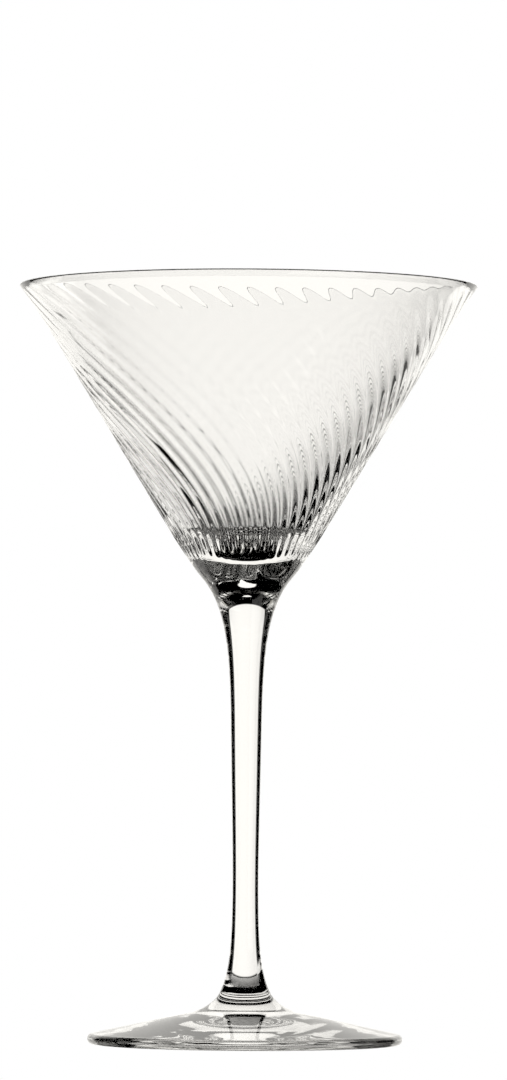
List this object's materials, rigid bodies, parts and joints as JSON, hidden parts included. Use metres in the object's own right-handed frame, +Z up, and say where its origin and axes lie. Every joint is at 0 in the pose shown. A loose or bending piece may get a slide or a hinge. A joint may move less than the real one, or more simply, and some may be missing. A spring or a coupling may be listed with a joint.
{
  "type": "martini glass",
  "caption": "Stemmed cocktail glass with a conical bowl ribbed in a twist outside and smooth inside, a slim drawn stem and a flat round foot.",
  "frame": {"origin": "centre of the flat ring under the foot, on the surface that the glass stands on", "axes": "+Z up along the stem, towards the rim; the glass is round, so +X and +Y are free"},
  "size_m": [0.1146, 0.1146, 0.19],
  "materials": {
    "bowl_glass": "clear blown glass, fire-polished, ribbed outside",
    "stem_glass": "clear drawn glass, fire-polished",
    "foot_glass": "clear pressed glass, fire-polished"
  },
  "bodies": {
    "root": {"bowl": "bowl_glass", "stem": "stem_glass", "foot": "foot_glass"}
  },
  "joints": []
}
